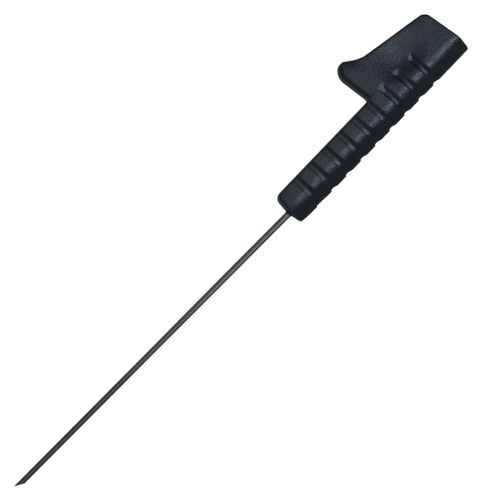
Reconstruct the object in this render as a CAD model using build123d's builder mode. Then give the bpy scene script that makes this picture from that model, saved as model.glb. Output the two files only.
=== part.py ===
from build123d import *
import os
from math import atan2, cos, degrees, radians, sin, tan

# Scratch awl: a round steel blade with a flattened tang, and a one-piece plastic handle
# moulded over that tang.
# Millimetres. X runs along the blade, from the point towards the butt. Y runs towards the
# handle's fin and Z is square to its two flat faces. The origin is on the blade's axis, where
# the blade leaves the handle.

# Blade: parallel next to the handle, then a slow taper, and a one-sided bevel at the point
BLADE_LENGTH = 217.8
BLADE_RADIUS = 1.84
PARALLEL_LENGTH = 54.0
WAIST_LENGTH = 104.0  # from the handle to where most of the taper is done
WAIST_RADIUS = 1.70
POINT_RADIUS = 1.64
BEVEL_ANGLE = 30.0  # between the ground flat and the blade's axis

# Tang: a neck, a flare, and a bar wider in Y than in Z, with notches that key the moulding
NECK_RADIUS = 1.5
NECK_LENGTH = 5.0
FLARE_LENGTH = 6.0
TANG_END = 76.0
TANG_WIDTH = 4.4
TANG_THICKNESS = 2.2
TANG_CORNER_RADIUS = 0.6
NOTCH_RADIUS = 1.5
NOTCH_DEPTH = 0.8
NOTCH_PITCH = 16.0
NOTCH_COUNT = 4

# Handle, in its own axes: x along the grip from its nose end, y towards the fin. These axes
# stand at a small angle to the blade.
CANT_ANGLE = 1.05
BOSS_LENGTH = 1.2  # the small mound round the blade, in front of the nose end
BOSS_ROOT_RADIUS = 3.0
BOSS_TIP_RADIUS = 1.95  # its thin rim, where the blade comes out
BOSS_TIP_SLOPE = 0.25
BOSS_OVERLAP = 1.5  # how far the mound reaches into the nose end
THICKNESS = 15.8
FACE_Z = THICKNESS / 2
SPINE_Y = 11.9  # the flat top of the grip
EDGE_RADIUS = 1.3

# The section across the grip: flat faces, then a round shoulder, a straight flank and a rounded
# belly. Its corners are given as y and z, before they are rounded.
SHOULDER_CORNER = (-0.08, FACE_Z)
SHOULDER_RADIUS = 12.0
BELLY_CORNER = (-12.6, 0)
BELLY_RADIUS = 4.0

# Corners of the side view, each with its radius, from the nose round over the fin to the butt.
# The two corners below the belly are cut away by the rounded underside.
BELOW_BELLY_Y = -12.5
OUTLINE = [
    ((1.25, BELOW_BELLY_Y), 0.5),
    ((0.1, -3.6), 10.0),  # the nose end is flat round the blade
    ((0.1, 4.4), 10.0),
    ((1.25, SPINE_Y), 4.3),
    ((77.9, SPINE_Y), 0.8),  # inside corner between the grip and the fin
    ((75.3, 33.5), 9.3),  # the fin's rounded lobe, front and top
    ((81.5, 38.55), 3.4),
    ((90.9, 31.4), 18.5),  # hollow behind the lobe
    ((136.05, 23.6), 5.7),  # upper butt corner
    ((139.9, -1.5), 14.0),
    ((139.6, BELOW_BELLY_Y), 0.5),
]

# Finger grooves: a steep wall on the blade side, a floor, and a slope out on the butt side
GROOVE_COUNT = 9
GROOVE_START = 13.5  # the first groove's steep wall
GROOVE_PITCH = 12.0
GROOVE_LEAN = 2.4  # the grooves' tops lean towards the blade
GROOVE_DEPTH = 1.0
GROOVE_WALL = 0.3
GROOVE_FLOOR = 2.15
GROOVE_WIDTH = 5.2
GROOVE_CLEARANCE = 1.5  # how far the cutting profile stands out of the surface
FIRST_FIN_GROOVE = 6  # this groove and those after it end on the face, below the fin
BLIND_END_Y = 10.2
RUN_OUT_Y = SPINE_Y + 3.0
ROOT_GROOVE_END_Y = SPINE_Y + 0.8  # the groove at the foot of the fin's front edge

# Thumb dish, sunk in both faces of the fin
DISH_X = 107.0
DISH_Y = 15.0
DISH_HALF_LENGTH = 18.0
DISH_HALF_WIDTH = 10.5
DISH_DEPTH = 1.3

os.makedirs("parts", exist_ok=True)


def tang_section():
    """The tang bar's rounded rectangle, wider in Y than in Z."""
    RectangleRounded(TANG_WIDTH, TANG_THICKNESS, TANG_CORNER_RADIUS)


with BuildPart() as shaft:
    with BuildSketch():
        with BuildLine():
            Polyline(
                (-BLADE_LENGTH, 0),
                (-BLADE_LENGTH, POINT_RADIUS),
                (-WAIST_LENGTH, WAIST_RADIUS),
                (-PARALLEL_LENGTH, BLADE_RADIUS),
                (0, BLADE_RADIUS),
                (0, NECK_RADIUS),
                (NECK_LENGTH, NECK_RADIUS),
                (NECK_LENGTH, 0),
                close=True,
            )
        make_face()
    revolve(axis=Axis.X)

    with BuildSketch(Plane.YZ.offset(NECK_LENGTH)):
        Circle(NECK_RADIUS)
    with BuildSketch(Plane.YZ.offset(NECK_LENGTH + FLARE_LENGTH)):
        tang_section()
    loft()

    with BuildSketch(Plane.YZ.offset(NECK_LENGTH + FLARE_LENGTH)):
        tang_section()
    extrude(amount=TANG_END - NECK_LENGTH - FLARE_LENGTH)

    notch_y = TANG_WIDTH / 2 + NOTCH_RADIUS - NOTCH_DEPTH
    first_notch = NECK_LENGTH + FLARE_LENGTH + NOTCH_PITCH / 2
    for number in range(NOTCH_COUNT):
        x = first_notch + number * NOTCH_PITCH
        with Locations((x, notch_y, 0), (x, -notch_y, 0)):
            Cylinder(NOTCH_RADIUS, TANG_THICKNESS * 2, mode=Mode.SUBTRACT)

    # The bevel takes off everything below a plane through the tip of the point
    bevel_length = 2 * POINT_RADIUS / tan(radians(BEVEL_ANGLE))
    with BuildSketch():
        with BuildLine():
            Polyline(
                (-BLADE_LENGTH, POINT_RADIUS),
                (-BLADE_LENGTH + bevel_length, -POINT_RADIUS),
                (-BLADE_LENGTH + bevel_length, -3 * POINT_RADIUS),
                (-BLADE_LENGTH - bevel_length, -3 * POINT_RADIUS),
                (-BLADE_LENGTH - bevel_length, POINT_RADIUS),
                close=True,
            )
        make_face()
    extrude(amount=2 * POINT_RADIUS, both=True, mode=Mode.SUBTRACT)


along = Vector(cos(radians(CANT_ANGLE)), sin(radians(CANT_ANGLE)), 0)
SIDE = Plane(origin=(BOSS_LENGTH, 0, 0), x_dir=along, z_dir=(0, 0, 1))
before_nose = SIDE.from_local_coords((-BOSS_ROOT_RADIUS, 0, 0))
SECTION = Plane(origin=before_nose, x_dir=SIDE.y_dir, z_dir=along)

# The flank is straight, and both arcs of the section are tangent to it. Its slope, its length and
# the arcs' centres follow from the two corners.
shoulder_corner_y = SHOULDER_CORNER[0]
belly_corner_y = BELLY_CORNER[0]
flank_slope = atan2(FACE_Z, shoulder_corner_y - belly_corner_y)
round_start_y = shoulder_corner_y + SHOULDER_RADIUS * tan(flank_slope / 2)
shoulder_centre_z = FACE_Z - SHOULDER_RADIUS
belly_centre_y = belly_corner_y + BELLY_RADIUS / sin(flank_slope)
belly_start_y = belly_centre_y - BELLY_RADIUS * sin(flank_slope)
belly_start_z = BELLY_RADIUS * cos(flank_slope)
shoulder_end_y = round_start_y - SHOULDER_RADIUS * sin(flank_slope)
flank_length = (shoulder_end_y - belly_start_y) / cos(flank_slope)


def is_sharp(edge):
    """True for the rim of a flat face or of an end, not where two faces run on smoothly."""
    middle = SIDE.to_local_coords(edge @ 0.5)
    vertical = abs((edge % 0.5).Z) > 0.99
    belly_seam = abs((edge % 0.5).dot(along)) > 0.999 and middle.Y < round_start_y + 0.01
    return not vertical and not belly_seam


above_fin = 1.2 * max(y for (_, y), _ in OUTLINE)
beyond_butt = 2 * max(x for (x, _), _ in OUTLINE)


def groove_plane(number):
    """The leaning plane that holds the steep wall of one groove."""
    lean = radians(GROOVE_LEAN)
    origin = SIDE.from_local_coords((GROOVE_START + number * GROOVE_PITCH, 0, 0))
    up = SIDE.from_local_coords((-sin(lean), cos(lean), 0)) - SIDE.origin
    return Plane(origin=origin, x_dir=up, z_dir=up.cross(Vector(0, 0, 1)))


def profile_plane(plane, point, outward):
    """A plane for one groove's profile: its x out of the surface, its y towards the butt."""
    origin = plane.from_local_coords((*point, 0))
    return Plane(origin=origin, x_dir=outward, z_dir=outward.cross(plane.z_dir))


# The section cut out by a groove, with the handle's surface at x = 0. Both walls run on past the
# surface at their own slopes.
steep_run = GROOVE_CLEARANCE * GROOVE_WALL / GROOVE_DEPTH
gentle_run = GROOVE_CLEARANCE * (GROOVE_WIDTH - GROOVE_FLOOR) / GROOVE_DEPTH
with BuildSketch() as groove_section:
    with BuildLine():
        Polyline(
            (GROOVE_CLEARANCE, -steep_run),
            (-GROOVE_DEPTH, GROOVE_WALL),
            (-GROOVE_DEPTH, GROOVE_FLOOR),
            (GROOVE_CLEARANCE, GROOVE_WIDTH + gentle_run),
            close=True,
        )
    make_face()

with BuildPart() as handle:
    with BuildSketch(SIDE):
        with BuildLine():
            FilletPolyline(
                *[corner for corner, _ in OUTLINE],
                radius=[radius for _, radius in OUTLINE],
                close=True,
            )
        make_face()
    extrude(amount=FACE_Z, both=True)

    with BuildSketch(SECTION):
        with BuildLine():
            FilletPolyline(
                BELLY_CORNER,
                SHOULDER_CORNER,
                (above_fin, FACE_Z),
                (above_fin, -FACE_Z),
                (SHOULDER_CORNER[0], -FACE_Z),
                radius=[BELLY_RADIUS, SHOULDER_RADIUS, EDGE_RADIUS, EDGE_RADIUS, SHOULDER_RADIUS],
                close=True,
            )
        make_face()
    extrude(amount=beyond_butt, mode=Mode.INTERSECT)
    fillet(handle.edges().filter_by(is_sharp), EDGE_RADIUS)

    # Finger grooves: down one face, round the belly and up the other face
    for number in range(GROOVE_COUNT):
        plane = groove_plane(number)
        if number >= FIRST_FIN_GROOVE:
            end_y = BLIND_END_Y
        elif number == FIRST_FIN_GROOVE - 1:
            end_y = ROOT_GROOVE_END_Y
        else:
            end_y = RUN_OUT_Y
        for side in (1, -1):
            on_face = profile_plane(plane, (round_start_y, side * FACE_Z), plane.y_dir * side)
            with BuildSketch(on_face):
                add(groove_section.sketch)
            extrude(amount=side * (end_y - round_start_y), mode=Mode.SUBTRACT)
            if number >= FIRST_FIN_GROOVE:
                end = plane.from_local_coords((end_y, side * FACE_Z, GROOVE_WIDTH / 2))
                with Locations(end):
                    Cylinder(GROOVE_WIDTH / 2, 2 * GROOVE_DEPTH, mode=Mode.SUBTRACT)
            with BuildSketch(on_face):
                add(groove_section.sketch)
            shoulder_centre = plane.from_local_coords((round_start_y, side * shoulder_centre_z, 0))
            shoulder_axis = Axis(shoulder_centre, plane.z_dir * side)
            revolve(axis=shoulder_axis, revolution_arc=degrees(flank_slope), mode=Mode.SUBTRACT)
            outward = plane.y_dir * side * cos(flank_slope) - plane.x_dir * sin(flank_slope)
            with BuildSketch(profile_plane(plane, (belly_start_y, side * belly_start_z), outward)):
                add(groove_section.sketch)
            extrude(amount=side * flank_length, mode=Mode.SUBTRACT)
        outward = plane.y_dir * cos(flank_slope) - plane.x_dir * sin(flank_slope)
        with BuildSketch(profile_plane(plane, (belly_start_y, belly_start_z), outward)):
            add(groove_section.sketch)
        belly_axis = Axis(plane.from_local_coords((belly_centre_y, 0, 0)), plane.z_dir)
        belly_arc = 180 - 2 * degrees(flank_slope)
        revolve(axis=belly_axis, revolution_arc=belly_arc, mode=Mode.SUBTRACT)

    # Thumb dish: a shallow cap of a spheroid whose long axis lies along the handle
    round_radius = (DISH_HALF_WIDTH**2 + DISH_DEPTH**2) / (2 * DISH_DEPTH)
    long_radius = DISH_HALF_LENGTH * round_radius / DISH_HALF_WIDTH
    for side in (1, -1):
        height = side * (FACE_Z + round_radius - DISH_DEPTH)
        dish_plane = SIDE.offset(height)
        with BuildSketch(dish_plane):
            with Locations((DISH_X, DISH_Y)):
                Ellipse(long_radius, round_radius)
                Rectangle(
                    2 * long_radius,
                    round_radius,
                    align=(Align.CENTER, Align.MAX),
                    mode=Mode.SUBTRACT,
                )
        dish_axis = Axis(dish_plane.from_local_coords((DISH_X, DISH_Y, 0)), along)
        revolve(axis=dish_axis, mode=Mode.SUBTRACT)

    # The mound that closes the moulding round the blade, hollow-sided
    boss_end = BOSS_LENGTH + BOSS_OVERLAP
    with BuildSketch():
        with BuildLine():
            tip = (0, BOSS_TIP_RADIUS)
            root = (boss_end, BOSS_ROOT_RADIUS)
            TangentArc(tip, root, tangent=(1, BOSS_TIP_SLOPE))
            Polyline(root, (boss_end, 0), (0, 0), tip)
        make_face()
    revolve(axis=Axis.X)

    add(shaft.part, mode=Mode.SUBTRACT)


shaft.part.label = "shaft"
export_step(shaft.part, "parts/shaft.step")
handle.part.label = "handle"
export_step(handle.part, "parts/handle.step")
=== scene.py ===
from math import cos, radians, sin

import bpy
import numpy as np
from mathutils import Matrix, Vector


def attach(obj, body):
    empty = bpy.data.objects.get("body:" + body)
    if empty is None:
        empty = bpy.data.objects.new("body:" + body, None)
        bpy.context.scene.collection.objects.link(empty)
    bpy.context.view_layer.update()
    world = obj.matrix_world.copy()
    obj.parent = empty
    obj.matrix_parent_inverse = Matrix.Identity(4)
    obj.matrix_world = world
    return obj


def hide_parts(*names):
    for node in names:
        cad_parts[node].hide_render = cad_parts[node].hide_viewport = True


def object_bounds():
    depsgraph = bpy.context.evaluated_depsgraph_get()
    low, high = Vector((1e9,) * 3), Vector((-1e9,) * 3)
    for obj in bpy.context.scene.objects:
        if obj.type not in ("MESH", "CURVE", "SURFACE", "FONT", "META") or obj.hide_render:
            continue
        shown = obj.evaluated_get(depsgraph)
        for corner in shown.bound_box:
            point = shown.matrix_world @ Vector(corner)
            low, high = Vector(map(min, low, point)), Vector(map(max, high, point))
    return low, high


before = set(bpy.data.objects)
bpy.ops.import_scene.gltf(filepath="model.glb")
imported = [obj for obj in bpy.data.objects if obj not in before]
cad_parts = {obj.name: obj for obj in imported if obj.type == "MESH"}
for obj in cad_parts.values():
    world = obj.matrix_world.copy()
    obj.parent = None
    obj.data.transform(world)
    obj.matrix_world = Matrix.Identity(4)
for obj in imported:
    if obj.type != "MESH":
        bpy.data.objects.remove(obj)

# A scratch awl lying on its side: a steel shaft from the CAD frame, and its moulded plastic
# handle rebuilt here as one fine mesh with soft edges. Lengths are millimetres, in the handle's
# own axes where nothing else is said: x along the grip from its nose end, y towards the fin,
# z square to the flat faces.
MM = 0.001
cad_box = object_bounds()

# Handle: side view and section
CANT_ANGLE = 1.05  # between the handle's x and the blade
THICKNESS = 15.8
FACE_Z = THICKNESS / 2
SPINE_Y = 11.9  # the flat top of the grip
EDGE_RADIUS = 1.1
BELOW_BELLY_Y = -12.5
ABOVE_FIN_Y = 60.0

# The small mound round the blade, in front of the nose end
BOSS_LENGTH = 1.2
BOSS_TIP_RADIUS = 1.95
BOSS_SLOPE = 0.25  # of its sides
BOSS_END = 3.0  # from its tip to where it stops, inside the nose
BOSS_FILLET = 0.8  # in the corner between the mound and the nose

# How much the faces fall away towards the outline, and over what reach. They fall more at the
# nose, and along the fin's front edge, which is rounder too. Each pair of numbers is where a
# change from one to the other begins and ends.
SHOULDER_DROP = 0.2
SHOULDER_REACH = 1.4
NOSE_DROP = 0.9
NOSE_REACH = 3.8
NOSE_TO_GRIP_X = (3.0, 10.0)
FIN_DROP = 1.0
FIN_REACH = 2.2
FIN_EDGE_RADIUS = 2.0
GRIP_TO_FIN_Y = (11.0, 15.0)
FIN_TO_BUTT_X = (84.0, 92.0)

# Corners of the side view, each with its radius
OUTLINE = [
    ((1.25, BELOW_BELLY_Y), 0.5),
    ((0.0, 0.5), 30.0),
    ((1.25, SPINE_Y), 4.3),
    ((77.9, SPINE_Y), 0.8),  # inside corner between the grip and the fin
    ((75.3, 33.5), 9.3),  # the fin's rounded lobe, front and top
    ((81.5, 38.55), 3.4),
    ((90.9, 31.4), 18.5),  # hollow behind the lobe
    ((136.05, 23.6), 5.7),  # upper butt corner
    ((139.9, -1.5), 14.0),
    ((139.6, BELOW_BELLY_Y), 0.5),
]

# Corners of the section across the grip, as (y, z), each with its radius: the belly, where the
# two flanks meet, and on each side a shoulder and a flat face
SECTION = [
    ((-12.6, 0.0), 4.0),
    ((-0.08, FACE_Z), 12.0),
    ((ABOVE_FIN_Y, FACE_Z), 0.5),
    ((ABOVE_FIN_Y, -FACE_Z), 0.5),
    ((-0.08, -FACE_Z), 12.0),
]

# Finger grooves: a steep wall on the blade side, a floor, and a slope out on the butt side
GROOVE_COUNT = 9
GROOVE_START = 13.5
GROOVE_PITCH = 12.0
WALL_LENGTH = 0.32
FIN_WALL_LENGTH = 0.8  # in the grooves below the fin
WALL_SHARE = 0.85  # of the depth; the floor slopes down for the rest
FLOOR_END = 2.15
GROOVE_WIDTH = 5.55
FIRST_LEAN = 1.0  # how far each groove's top leans towards the blade, in degrees
LEAN_STEP = 0.45
LAST_LEAN = 2.7

# Their depth on the faces, the flanks and the belly, and how far below the axis each change
# between these begins and ends
GROOVE_DEPTH = 1.0
FLANK_DEPTH = 0.5
BELLY_DEPTH = 0.85
FACE_TO_FLANK = (-2.0, 3.5)
FLANK_TO_BELLY = (4.0, 7.5)

# The first groove's long way out, on the belly
RAMP_LENGTH = 10.5
RAMP_DEPTH = 0.55
FACE_TO_RAMP = (1.0, 6.5)

# The grooves that end on the face, below the fin, in a scoop
FIRST_FIN_GROOVE = 6
BLIND_END_Y = 13.1
BLIND_MIDDLE = 2.4
BLIND_CURVE = 0.10  # how much lower the end is at its sides
BLIND_SLOPES = (0.22, 0.30, 0.30)  # of the scooped end of each of these grooves
BLIND_TILTS = (0.03, -0.05, 0.10)  # how each scoop gets deeper towards the butt

# Thumb dish in both faces of the fin: its deepest point and how far it reaches each way
DISH_X = 107.0
DISH_Y = 14.2
DISH_REACH_BACK = 19.0
DISH_REACH_BUTT = 20.0
DISH_REACH_DOWN = 10.9
DISH_REACH_UP = 26.0
DISH_DEPTH = 1.85
DISH_FULL_Z = 4.0  # it fades out from here to the middle of the thickness

# Tang: the cavity it fills in the handle
NECK_RADIUS = 1.5
NECK_LENGTH = 5.0
FLARE_LENGTH = 6.0
TANG_END = 76.0
TANG_WIDTH = 4.4
TANG_THICKNESS = 2.2
TANG_CORNER_RADIUS = 0.6
NOTCH_RADIUS = 1.5
NOTCH_DEPTH = 0.8
NOTCH_PITCH = 16.0
NOTCH_COUNT = 4

# The mesh grid: pairs of where a stretch begins and its step, and where the last one ends
FINEST = 0.12
FINE = 0.22
MIDDLE = 0.36
COARSE = 0.6
NOSE_GRID = [(-1.6, FINE), (3.2, COARSE)]
GROOVE_GRID = [  # from each groove's steep wall
    (-0.4, FINE),
    (-0.1, FINEST),
    (0.5, FINE),
    (1.2, MIDDLE),
    (GROOVE_WIDTH + 0.5, COARSE),
]
BUTT_GRID = [(132.0, MIDDLE)]
GRID_END_X = 141.2
GRID_Y = [(-9.6, MIDDLE), (-5.0, 0.5), (9.6, 0.3), (12.6, 0.55)]
GRID_END_Y = 49.2
GRID_Z = [(0.0, 0.55), (5.4, 0.3)]
GRID_END_Z = 8.4
GRID_SHIFT_Z = 0.013  # keeps the grid's points off the middle plane

# How the mesh's corners are settled on the surface and evened out
SETTLE_ROUNDS = 3
RELAX_ROUNDS = 3
RELAX_SHARE = 0.4
LAST_ROUNDS = 2
PROBE = 0.01  # how far each way the field is read for its slope
LONGEST_MOVE = 0.3
LEAST_STEEPNESS = 0.2
TINY = 1e-9
FAR = 1e9

# Blade: the steel is darkest up to here from the point, and lighter blue-grey from here to the
# handle, a painted highlight standing in for the blade's brighter reflection near the handle
PAINTED_SHEEN_START = -170.0
PAINTED_SHEEN_FULL = -40.0

# Half the floor's side, in metres
FLOOR_HALF = 4.0

# Camera: it leans towards the blade's point, and the blade runs up to the right. The width that
# it takes in at the awl and the point that it looks at are in metres.
VIEW_TILT = radians(7.2)
VIEW_ROLL = radians(45.18)
FIELD_WIDTH = 0.282
LENS = 300.0
SENSOR_WIDTH = 36.0
AIM = Vector((-0.0294, 0.00108, 0.0))


def smooth(value, start, end):
    """0 before start, 1 after end, and an even S between them."""
    t = np.clip((value - start) / (end - start), 0.0, 1.0)
    return t * t * (3 - 2 * t)


def lean_of(number):
    """The slope at which a groove leans; between two grooves, number is a fraction."""
    return np.tan(np.radians(np.clip(FIRST_LEAN + LEAN_STEP * number, FIRST_LEAN, LAST_LEAN)))


# ------------------------------------------------------------------------- outlines

def outline_pieces(rounded_corners):
    """A closed outline as straight lines and corner arcs, all running clockwise."""
    corners = [np.array(point) for point, _ in rounded_corners]
    lines, arcs, ends = [], [], []
    for i, corner in enumerate(corners):
        before = corner - corners[i - 1]
        after = corners[(i + 1) % len(corners)] - corner
        before = before / np.hypot(*before)
        after = after / np.hypot(*after)
        turn = np.arctan2(before[0] * after[1] - before[1] * after[0], before @ after)
        radius = rounded_corners[i][1]
        setback = radius * np.tan(abs(turn) / 2)
        start, end = corner - before * setback, corner + after * setback
        side = np.sign(turn)
        centre = start + side * radius * np.array([-before[1], before[0]])
        arcs.append((centre, radius, side, start, end, before, after))
        ends.append((start, end))
    for i, (start, _) in enumerate(ends):
        lines.append((ends[i - 1][1], start))
    return lines, arcs


def outline_distance(pieces, x, y):
    """How far points are from an outline: negative inside, positive outside."""
    lines, arcs = pieces
    best = np.full(np.shape(x), FAR)
    for start, end in lines:
        length = np.hypot(*(end - start))
        way = (end - start) / length
        along = np.clip((x - start[0]) * way[0] + (y - start[1]) * way[1], 0, length)
        dx, dy = x - start[0] - along * way[0], y - start[1] - along * way[1]
        signed = np.hypot(dx, dy) * np.where(way[0] * dy - way[1] * dx > 0, 1.0, -1.0)
        best = np.where(np.abs(signed) < np.abs(best), signed, best)
    for centre, radius, side, start, end, before, after in arcs:
        inside = ((x - start[0]) * before[0] + (y - start[1]) * before[1] > 0) & (
            (x - end[0]) * after[0] + (y - end[1]) * after[1] < 0
        )
        signed = (np.hypot(x - centre[0], y - centre[1]) - radius) * -side
        signed = np.where(inside, signed, FAR)
        best = np.where(np.abs(signed) < np.abs(best), signed, best)
    return best


SIDE_VIEW = outline_pieces(OUTLINE)
ACROSS = outline_pieces(SECTION)


# --------------------------------------------------------------- the handle's shape

def groove_profile(along, wall_length):
    """A groove's depth, from 0 to 1, along the handle from its steep wall."""
    floor = np.clip((along - wall_length) / (FLOOR_END - wall_length), 0, 1)
    wall = smooth(along, 0, wall_length) * (WALL_SHARE + (1 - WALL_SHARE) * floor)
    return wall * (1 - smooth(along, FLOOR_END, GROOVE_WIDTH))


def blind_end(along, y, slope, tilt):
    """The depth that is left in a groove's scooped end, below the fin."""
    across = along - BLIND_MIDDLE
    scoop = slope * (BLIND_END_Y - BLIND_CURVE * across**2 - y) + tilt * across
    return np.maximum(scoop, 0)


def grooves(x, y):
    """The depth of all the finger grooves at points of the section's surface."""
    depth = np.zeros(np.shape(x))
    on_ramp = smooth(-y, *FACE_TO_RAMP)
    full = GROOVE_DEPTH + (FLANK_DEPTH - GROOVE_DEPTH) * smooth(-y, *FACE_TO_FLANK)
    full = full + (BELLY_DEPTH - FLANK_DEPTH) * smooth(-y, *FLANK_TO_BELLY)
    for number in range(GROOVE_COUNT):
        along = x + y * lean_of(number) - (GROOVE_START + number * GROOVE_PITCH)
        if number < FIRST_FIN_GROOVE:
            cut = full * groove_profile(along, WALL_LENGTH)
        else:
            slope = BLIND_SLOPES[number - FIRST_FIN_GROOVE]
            tilt = BLIND_TILTS[number - FIRST_FIN_GROOVE]
            cut = full * groove_profile(along, FIN_WALL_LENGTH)
            cut = np.minimum(cut, blind_end(along, y, slope, tilt))
        if number == 0:
            ramp_out = smooth(along, 0, WALL_LENGTH) * np.clip(1 - along / RAMP_LENGTH, 0, 1)
            cut = cut * (1 - on_ramp) + RAMP_DEPTH * ramp_out * on_ramp
        depth = np.maximum(depth, cut)
    return depth


def dish(x, y):
    """The depth of the thumb dish."""
    dx, dy = x - DISH_X, y - DISH_Y
    across = dx / np.where(dx < 0, DISH_REACH_BACK, DISH_REACH_BUTT)
    up = dy / np.where(dy < 0, DISH_REACH_DOWN, DISH_REACH_UP)
    return DISH_DEPTH * np.clip(1 - across**2 - up**2, 0, 1) ** 2


def rounded_and(a, b, radius):
    """What is inside both shapes, with the edge between them rounded."""
    outside = np.hypot(np.maximum(a + radius, 0), np.maximum(b + radius, 0))
    return np.minimum(np.maximum(a, b) + radius, 0) + outside - radius


def blended_or(a, b, radius):
    """What is inside either shape, with the inside corner between them filled."""
    outside = np.hypot(np.minimum(a - radius, 0), np.minimum(b - radius, 0))
    return np.maximum(np.minimum(a, b) - radius, 0) - outside + radius


def tang_distance(x, y, z):
    """How far points are from the tang, in the blade's axes."""
    flare = np.clip((x - NECK_LENGTH) / FLARE_LENGTH, 0, 1)
    corner = NECK_RADIUS + flare * (TANG_CORNER_RADIUS - NECK_RADIUS)
    half_width = NECK_RADIUS + flare * (TANG_WIDTH / 2 - NECK_RADIUS) - corner
    half_height = NECK_RADIUS + flare * (TANG_THICKNESS / 2 - NECK_RADIUS) - corner
    dy, dz = np.abs(y) - half_width, np.abs(z) - half_height
    outside = np.hypot(np.maximum(dy, 0), np.maximum(dz, 0))
    bar = outside + np.minimum(np.maximum(dy, dz), 0) - corner
    bar = np.maximum(bar, x - TANG_END)
    for number in range(NOTCH_COUNT):
        notch_x = NECK_LENGTH + FLARE_LENGTH + (number + 0.5) * NOTCH_PITCH
        notch_y = TANG_WIDTH / 2 + NOTCH_RADIUS - NOTCH_DEPTH
        bar = np.maximum(bar, NOTCH_RADIUS - np.hypot(x - notch_x, np.abs(y) - notch_y))
    return bar


def to_blade(x, y):
    """Handle axes to the blade's axes, which are the frame's."""
    cant = radians(CANT_ANGLE)
    return BOSS_LENGTH + x * cos(cant) - y * sin(cant), x * sin(cant) + y * cos(cant)


def handle_field(x, y, z):
    """About how far points are from the handle's surface: negative inside."""
    side = outline_distance(SIDE_VIEW, x, y)
    fin = smooth(y, *GRIP_TO_FIN_Y) * (1 - smooth(x, *FIN_TO_BUTT_X))
    nose = 1 - smooth(x, *NOSE_TO_GRIP_X)
    shoulder = SHOULDER_DROP * np.exp(np.minimum(side, 0) / SHOULDER_REACH)
    nose_drop = NOSE_DROP * np.exp(np.minimum(side, 0) / NOSE_REACH)
    fin_drop = FIN_DROP * np.exp(np.minimum(side, 0) / FIN_REACH)
    shoulder = shoulder + (nose_drop - shoulder) * nose
    shoulder = shoulder + (fin_drop - shoulder) * fin
    body = outline_distance(ACROSS, y, z) + grooves(x, y)
    body = body + dish(x, y) * smooth(np.abs(z), 0, DISH_FULL_Z)
    body = body + shoulder
    edge = EDGE_RADIUS + (FIN_EDGE_RADIUS - EDGE_RADIUS) * fin
    body = rounded_and(side, body, edge)
    blade_x, blade_y = to_blade(x, y)
    boss_radius = BOSS_TIP_RADIUS + BOSS_SLOPE * np.maximum(blade_x, 0)
    mound = np.maximum(np.hypot(blade_y, z) - boss_radius, -blade_x)
    mound = np.maximum(mound, blade_x - BOSS_END)
    body = blended_or(body, mound, BOSS_FILLET)
    return np.maximum(body, -tang_distance(blade_x, blade_y, z))


# ---------------------------------------------------------------------------- the mesh

def graded(stretches, last):
    """Grid places, evenly spaced in each stretch by about its own step."""
    places = []
    ends = [start for start, _ in stretches[1:]] + [last]
    for (start, step), end in zip(stretches, ends):
        count = max(1, int(round((end - start) / step)))
        places += list(start + (end - start) * np.arange(count) / count)
    return places + [last]


def grid_along():
    """Grid places along the handle, close together at the nose and at each groove."""
    stretches = list(NOSE_GRID)
    for number in range(GROOVE_COUNT):
        wall = GROOVE_START + number * GROOVE_PITCH
        stretches += [(wall + place, step) for place, step in GROOVE_GRID]
    return np.array(graded(stretches + BUTT_GRID, GRID_END_X))


def surface_nets(field, gx, gy, gz):
    """A mesh of quads on the field's zero surface: one corner in each grid cell it crosses."""
    X, Y, Z = np.meshgrid(gx, gy, gz, indexing="ij")
    X = X - Y * lean_of((X - GROOVE_START) / GROOVE_PITCH)  # the grid leans as the grooves do
    F = field(X, Y, Z)
    P = np.stack([X, Y, Z], axis=-1)
    cells = tuple(n - 1 for n in F.shape)
    total = np.zeros(cells + (3,))
    count = np.zeros(cells)

    def part(array, shift, size):
        return array[tuple(slice(s, s + n) for s, n in zip(shift, size))]

    for axis in range(3):
        for a in (0, 1):
            for b in (0, 1):
                low = [a, b]
                low.insert(axis, 0)
                high = list(low)
                high[axis] = 1
                f0, f1 = part(F, low, cells), part(F, high, cells)
                crossed = (f0 < 0) != (f1 < 0)
                t = np.where(crossed, f0 / np.where(crossed, f0 - f1, 1), 0)[..., None]
                point = part(P, low, cells) * (1 - t) + part(P, high, cells) * t
                total += np.where(crossed[..., None], point, 0)
                count += crossed
    used = count > 0
    index = np.full(cells, -1)
    index[used] = np.arange(used.sum())
    corners = total[used] / count[used][:, None]

    quads = []
    for axis in range(3):
        b, c = [k for k in range(3) if k != axis]
        size = [0, 0, 0]
        size[axis] = F.shape[axis] - 1
        size[b], size[c] = F.shape[b] - 2, F.shape[c] - 2
        base = [0, 0, 0]
        base[b] = base[c] = 1
        f0 = part(F, base, size)
        step = list(base)
        step[axis] = 1
        f1 = part(F, step, size)
        crossed = (f0 < 0) != (f1 < 0)
        around = []
        for db, dc in ((0, 0), (1, 0), (1, 1), (0, 1)):
            shift = [0, 0, 0]
            shift[b], shift[c] = db, dc
            around.append(part(index, shift, size)[crossed])
        quad = np.stack(around, axis=1)
        outward = (f0 < 0)[crossed]
        if axis == 1:
            outward = ~outward
        quad[~outward] = quad[~outward][:, ::-1]
        quads.append(quad)
    return corners, np.concatenate(quads)


def onto_surface(points, field):
    """Moves points straight onto the field's zero surface, and gives its normals there."""
    value = field(*points.T)
    slope = np.stack(
        [
            (field(*(points + d).T) - field(*(points - d).T)) / (2 * PROBE)
            for d in np.eye(3) * PROBE
        ],
        axis=1,
    )
    steep = np.maximum((slope**2).sum(axis=1), LEAST_STEEPNESS)
    move = -(value / steep)[:, None] * slope
    length = np.maximum(np.linalg.norm(move, axis=1), TINY)[:, None]
    moved = points + move * np.minimum(1, LONGEST_MOVE / length)
    return moved, slope / np.sqrt(steep)[:, None]


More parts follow.
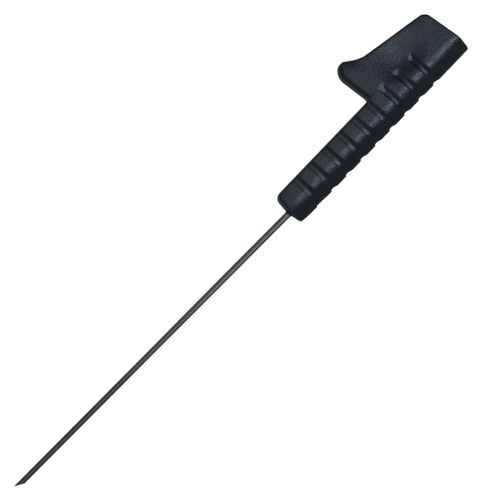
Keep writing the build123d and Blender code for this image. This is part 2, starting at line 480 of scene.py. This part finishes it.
def relaxed(points, quads, normals, share):
    """Slides points along the surface towards the middle of their neighbours."""
    total = np.zeros_like(points)
    count = np.zeros(len(points))
    for k in range(4):
        a, b = quads[:, k], quads[:, (k + 1) % 4]
        np.add.at(total, a, points[b])
        np.add.at(total, b, points[a])
        np.add.at(count, a, 1)
        np.add.at(count, b, 1)
    move = (total / count[:, None] - points) * share
    return points + move - (move * normals).sum(axis=1)[:, None] * normals


def new_object(name, corners, faces):
    mesh = bpy.data.meshes.new(name)
    mesh.from_pydata(corners, [], faces)
    mesh.update()
    new = bpy.data.objects.new(name, mesh)
    bpy.context.scene.collection.objects.link(new)
    return new


def make_handle():
    half = graded(GRID_Z, GRID_END_Z)
    through = np.array([-z for z in half[:0:-1]] + half) + GRID_SHIFT_Z
    up = np.array(graded(GRID_Y, GRID_END_Y))
    points, quads = surface_nets(handle_field, grid_along(), up, through)
    for _ in range(SETTLE_ROUNDS):
        points, normals = onto_surface(points, handle_field)
    for _ in range(RELAX_ROUNDS):
        points = relaxed(points, quads, normals, RELAX_SHARE)
        points, normals = onto_surface(points, handle_field)
    for _ in range(LAST_ROUNDS):
        points, normals = onto_surface(points, handle_field)
    x, y = to_blade(points[:, 0], points[:, 1])
    places = np.stack([x, y, points[:, 2]], axis=1) * MM
    piece = new_object("moulded_handle", places.tolist(), quads.tolist())
    piece.data.shade_smooth()
    return piece


# ----------------------------------------------------------------------------- materials

# The sockets of a Mix node that mixes colours
MIX_A, MIX_B, MIX_RESULT = 6, 7, 2


def new_material(name):
    material = bpy.data.materials.new(name)
    material.use_nodes = True
    return material, material.node_tree, material.node_tree.nodes["Principled BSDF"]


def add_node(tree, kind, inputs):
    """A new node. Each input is a value, or the output of another node that feeds it."""
    node = tree.nodes.new("ShaderNode" + kind)
    set_inputs(tree, node, inputs)
    return node


def set_inputs(tree, node, inputs):
    for name, value in inputs.items():
        if isinstance(value, bpy.types.NodeSocket):
            tree.links.new(value, node.inputs[name])
        else:
            node.inputs[name].default_value = value


def noise(tree, place, scale, detail):
    inputs = {"Vector": place, "Scale": scale, "Detail": detail}
    return add_node(tree, "TexNoise", inputs).outputs["Fac"]


def ramp(tree, value, stops):
    """A colour that changes with a value, from stops of a value and a colour."""
    node = add_node(tree, "ValToRGB", {"Fac": value})
    elements = node.color_ramp.elements
    for element, (place, colour) in zip(elements, (stops[0], stops[-1])):
        element.position = place
        element.color = (*colour, 1)
    for place, colour in stops[1:-1]:
        elements.new(place).color = (*colour, 1)
    return node.outputs["Color"]


def ranged(tree, value, start, end, new_start, new_end):
    """A value moved from one range to another."""
    inputs = {"Value": value, "From Min": start, "From Max": end}
    inputs.update({"To Min": new_start, "To Max": new_end})
    return add_node(tree, "MapRange", inputs).outputs["Result"]


def computed(tree, operation, *values):
    node = add_node(tree, "Math", dict(enumerate(values)))
    node.operation = operation
    return node


def mixed(tree, share, colour, other):
    node = tree.nodes.new("ShaderNodeMix")
    node.data_type = "RGBA"
    set_inputs(tree, node, {"Factor": share, MIX_A: colour, MIX_B: other})
    return node.outputs[MIX_RESULT]


def bump(tree, height, strength, distance):
    return add_node(tree, "Bump", {"Height": height, "Strength": strength, "Distance": distance})


def plastic():
    """Satin black moulded plastic: cool tint, fine grain, faint cloudiness and rubbed edges."""
    material, tree, shader = new_material("satin_black_plastic")
    place = tree.nodes.new("ShaderNodeTexCoord").outputs["Object"]
    grain = noise(tree, place, 1500, 3)
    mottle = noise(tree, place, 520, 2)
    cloud = noise(tree, place, 110, 4)

    dark, light = (0.0080, 0.0102, 0.0120), (0.0130, 0.0160, 0.0185)
    rubbed = (0.050, 0.056, 0.062, 1)
    tint = ramp(tree, cloud, [(0.3, dark), (0.75, light)])
    pointiness = tree.nodes.new("ShaderNodeNewGeometry").outputs["Pointiness"]
    edges = ranged(tree, pointiness, 0.515, 0.60, 0, 0.7)
    patchy_edges = computed(tree, "MULTIPLY", edges, mottle).outputs["Value"]

    coarse = bump(tree, mottle, 0.6, 0.00019)
    fine = bump(tree, grain, 0.8, 0.00016)
    set_inputs(tree, fine, {"Normal": coarse.outputs["Normal"]})
    set_inputs(tree, shader, {
        "Base Color": mixed(tree, patchy_edges, tint, rubbed),
        "Roughness": ranged(tree, mottle, 0.3, 0.7, 0.27, 0.39),
        "Normal": fine.outputs["Normal"],
        "IOR": 1.45,
        "Specular Tint": (0.66, 0.80, 1.0, 1),
    })
    return material


def steel():
    """Dark drawn steel: lengthwise lines, cloudy oxide, and a blue-grey cast near the handle that
    is a painted highlight.
    """
    material, tree, shader = new_material("dark_drawn_steel")
    place = tree.nodes.new("ShaderNodeTexCoord").outputs["Object"]

    def stretched_noise(scale, detail):
        stretch = add_node(tree, "Mapping", {"Vector": place, "Scale": scale})
        return noise(tree, stretch.outputs["Vector"], 1, detail)

    lines = stretched_noise((25, 2200, 2200), 3)
    oxide = stretched_noise((60, 260, 260), 4)
    along = add_node(tree, "SeparateXYZ", {"Vector": place}).outputs["X"]
    # painted highlight: the steel turns lighter and blue-grey towards the handle, standing in for
    # its brighter reflection there
    painted_sheen = ranged(tree, along, PAINTED_SHEEN_START * MM, PAINTED_SHEEN_FULL * MM, 0, 1)
    patchy = computed(tree, "MULTIPLY_ADD", oxide, 0.5, -0.25).outputs["Value"]
    share = computed(tree, "ADD", painted_sheen, patchy)
    share.use_clamp = True
    dark = ramp(tree, lines, [(0.3, (0.055, 0.060, 0.068)), (0.75, (0.095, 0.102, 0.114))])
    # the lighter blue-grey colour is the painted highlight near the handle; elsewhere its patches
    # follow the cloudy oxide
    blue = ramp(tree, lines, [(0.3, (0.105, 0.124, 0.145)), (0.75, (0.165, 0.190, 0.218))])
    set_inputs(tree, shader, {
        "Base Color": mixed(tree, share.outputs["Value"], dark, blue),
        "Metallic": 1.0,
        "Roughness": ranged(tree, lines, 0, 1, 0.40, 0.52),
        "Normal": bump(tree, lines, 0.2, 0.00002).outputs["Normal"],
    })
    return material


def floor_material():
    """White, with a slight glow."""
    material, tree, shader = new_material("white_floor")
    set_inputs(tree, shader, {
        "Base Color": (0.85, 0.85, 0.85, 1),
        "Roughness": 0.9,
        "Emission Color": (1, 1, 1, 1),
        "Emission Strength": 0.92,
    })
    return material


handle = make_handle()
handle.data.materials.append(plastic())
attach(handle, "root")
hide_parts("handle")

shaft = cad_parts["shaft"]
shaft.data.materials.clear()
shaft.data.materials.append(steel())

# ------------------------------------------------------------------ floor, light and camera

floor_z = cad_box[0][2]
floor_corners = [(-1, -1), (1, -1), (1, 1), (-1, 1)]
floor = new_object(
    "floor", [(x * FLOOR_HALF, y * FLOOR_HALF, floor_z) for x, y in floor_corners], [(0, 1, 2, 3)]
)
floor.data.materials.append(floor_material())
floor.visible_glossy = False  # the black plastic shows no white floor in its sides


def studio_world():
    """A dim, cool studio round the awl, lightest at the horizon, with white behind it."""
    world = bpy.data.worlds.new("studio")
    world.use_nodes = True
    tree = world.node_tree
    place = tree.nodes.new("ShaderNodeTexCoord").outputs["Generated"]
    height = add_node(tree, "SeparateXYZ", {"Vector": place}).outputs["Z"]

    def cool(grey):
        return 0.88 * grey, 1.02 * grey, 1.14 * grey

    walls = ramp(tree, ranged(tree, height, -1, 1, 0, 1), [
        (0, (0.1, 0.1, 0.1)),
        (0.42, cool(0.22)),
        (0.52, cool(0.34)),
        (0.72, cool(0.06)),
        (1, (0.2, 0.2, 0.2)),
    ])
    seen = tree.nodes.new("ShaderNodeLightPath").outputs["Is Camera Ray"]
    colour = mixed(tree, seen, walls, (1, 1, 1, 1))
    set_inputs(tree, tree.nodes["Background"], {"Color": colour})
    bpy.context.scene.world = world


def soft_light(name, direction, distance, size, power):
    """A round light that faces the place where the blade meets the handle."""
    light = bpy.data.lights.new(name, "AREA")
    light.shape = "DISK"
    light.size = size
    light.energy = power
    lamp = bpy.data.objects.new(name, light)
    way = Vector(direction).normalized()
    lamp.location = way * distance
    lamp.rotation_euler = way.to_track_quat("Z", "Y").to_euler()
    bpy.context.scene.collection.objects.link(lamp)


studio_world()
soft_light("overhead", (-0.05, 0.0, 0.99), 1.6, 1.2, 3.8)
soft_light("key", (0.30, -0.36, 0.9), 1.5, 0.4, 7.0)
soft_light("fill", (-0.1, 0.8, 0.6), 1.6, 0.8, 1.7)

camera_data = bpy.data.cameras.new("camera")
camera_data.lens = LENS
camera_data.sensor_width = SENSOR_WIDTH
camera = bpy.data.objects.new("camera", camera_data)
towards = Vector((-sin(VIEW_TILT), 0, cos(VIEW_TILT)))
along_blade = Vector((cos(VIEW_TILT), 0, sin(VIEW_TILT)))
to_fin = Vector((0, 1, 0))
right = along_blade * cos(VIEW_ROLL) - to_fin * sin(VIEW_ROLL)
up = along_blade * sin(VIEW_ROLL) + to_fin * cos(VIEW_ROLL)
camera_place = Matrix.Translation(AIM + towards * FIELD_WIDTH * LENS / SENSOR_WIDTH)
camera.matrix_world = camera_place @ Matrix((right, up, towards)).transposed().to_4x4()
bpy.context.scene.collection.objects.link(camera)
bpy.context.scene.camera = camera
bpy.context.scene.view_settings.view_transform = "Standard"
